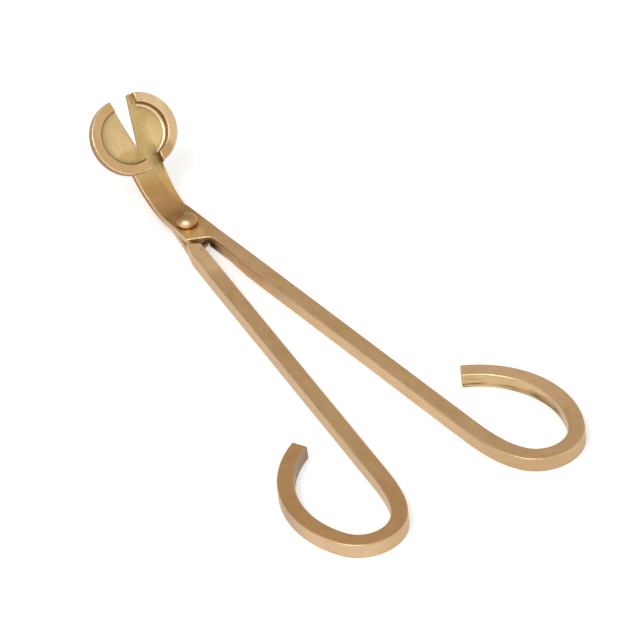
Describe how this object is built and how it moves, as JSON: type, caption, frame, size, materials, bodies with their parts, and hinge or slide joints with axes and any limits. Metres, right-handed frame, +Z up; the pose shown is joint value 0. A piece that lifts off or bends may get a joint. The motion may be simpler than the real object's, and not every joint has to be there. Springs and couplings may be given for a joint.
{
  "type": "wick trimmer",
  "caption": "Brass candle wick trimmer: levers crossed on a rivet, open finger hooks at one end, and an angled round tray split into cutting halves at the other.",
  "frame": {"origin": "on the pivot axis, level with the flat undersides of the bars", "axes": "+Z up along the pivot axis, +Y from the handles to the tray, +X to the side of the upper lever's handle"},
  "size_m": [0.0871, 0.1938, 0.0298],
  "materials": {
    "upper_lever": "satin, brushed along the bar",
    "upper_rim": "satin",
    "lower_lever": "satin, brushed along the bar",
    "lower_rim": "satin, polished inside",
    "pivot_rivet": "polished"
  },
  "bodies": {
    "lower": {"lower_lever": "lower_lever", "lower_rim": "lower_rim", "pivot_rivet": "pivot_rivet"},
    "upper": {"upper_lever": "upper_lever", "upper_rim": "upper_rim"}
  },
  "joints": [
    {"name": "pivot", "type": "hinge", "parent": "lower", "child": "upper", "pos_m": [0, 0, 0], "axis": [0, 0, 1], "range_deg": [-11, 30]}
  ]
}
